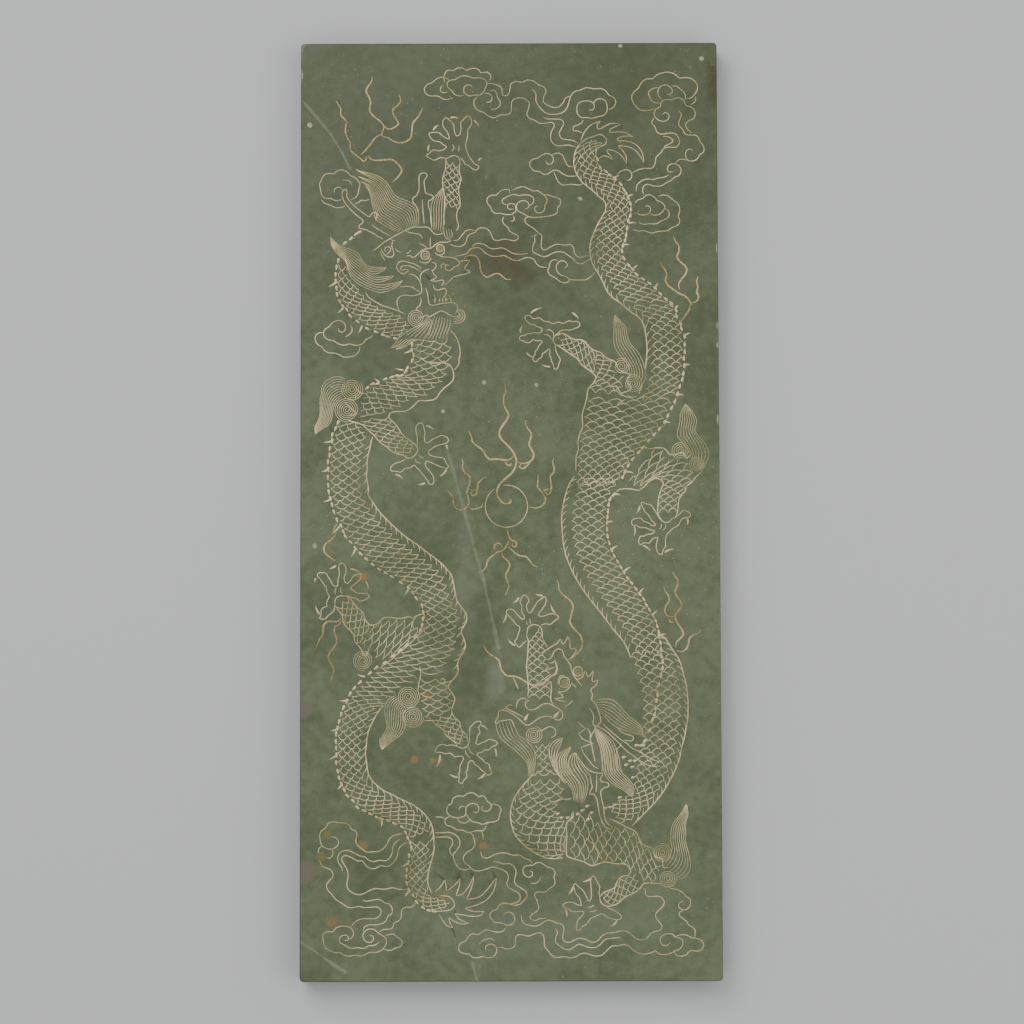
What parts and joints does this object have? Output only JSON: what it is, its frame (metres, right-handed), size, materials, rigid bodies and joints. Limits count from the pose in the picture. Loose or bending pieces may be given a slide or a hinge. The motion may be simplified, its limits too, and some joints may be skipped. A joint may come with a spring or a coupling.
{
  "type": "book cover",
  "caption": "Flat jade book cover, a tall rectangular slab whose face is engraved with two dragons, a flaming pearl and trailing clouds, the lines filled with gold.",
  "frame": {"origin": "middle of the slab's underside, as it lies with the engraved face up", "axes": "+Z out of the engraved face, +Y towards the top edge of the picture, +X to its right"},
  "size_m": [0.1284, 0.288, 0.009],
  "materials": {
    "jade": "polished, mottled dark grey-green nephrite with brown stains and pale veins",
    "gilding": "worn gold laid in the engraved lines"
  },
  "bodies": {
    "root": {"jade_cover_slab": "jade"}
  },
  "joints": []
}
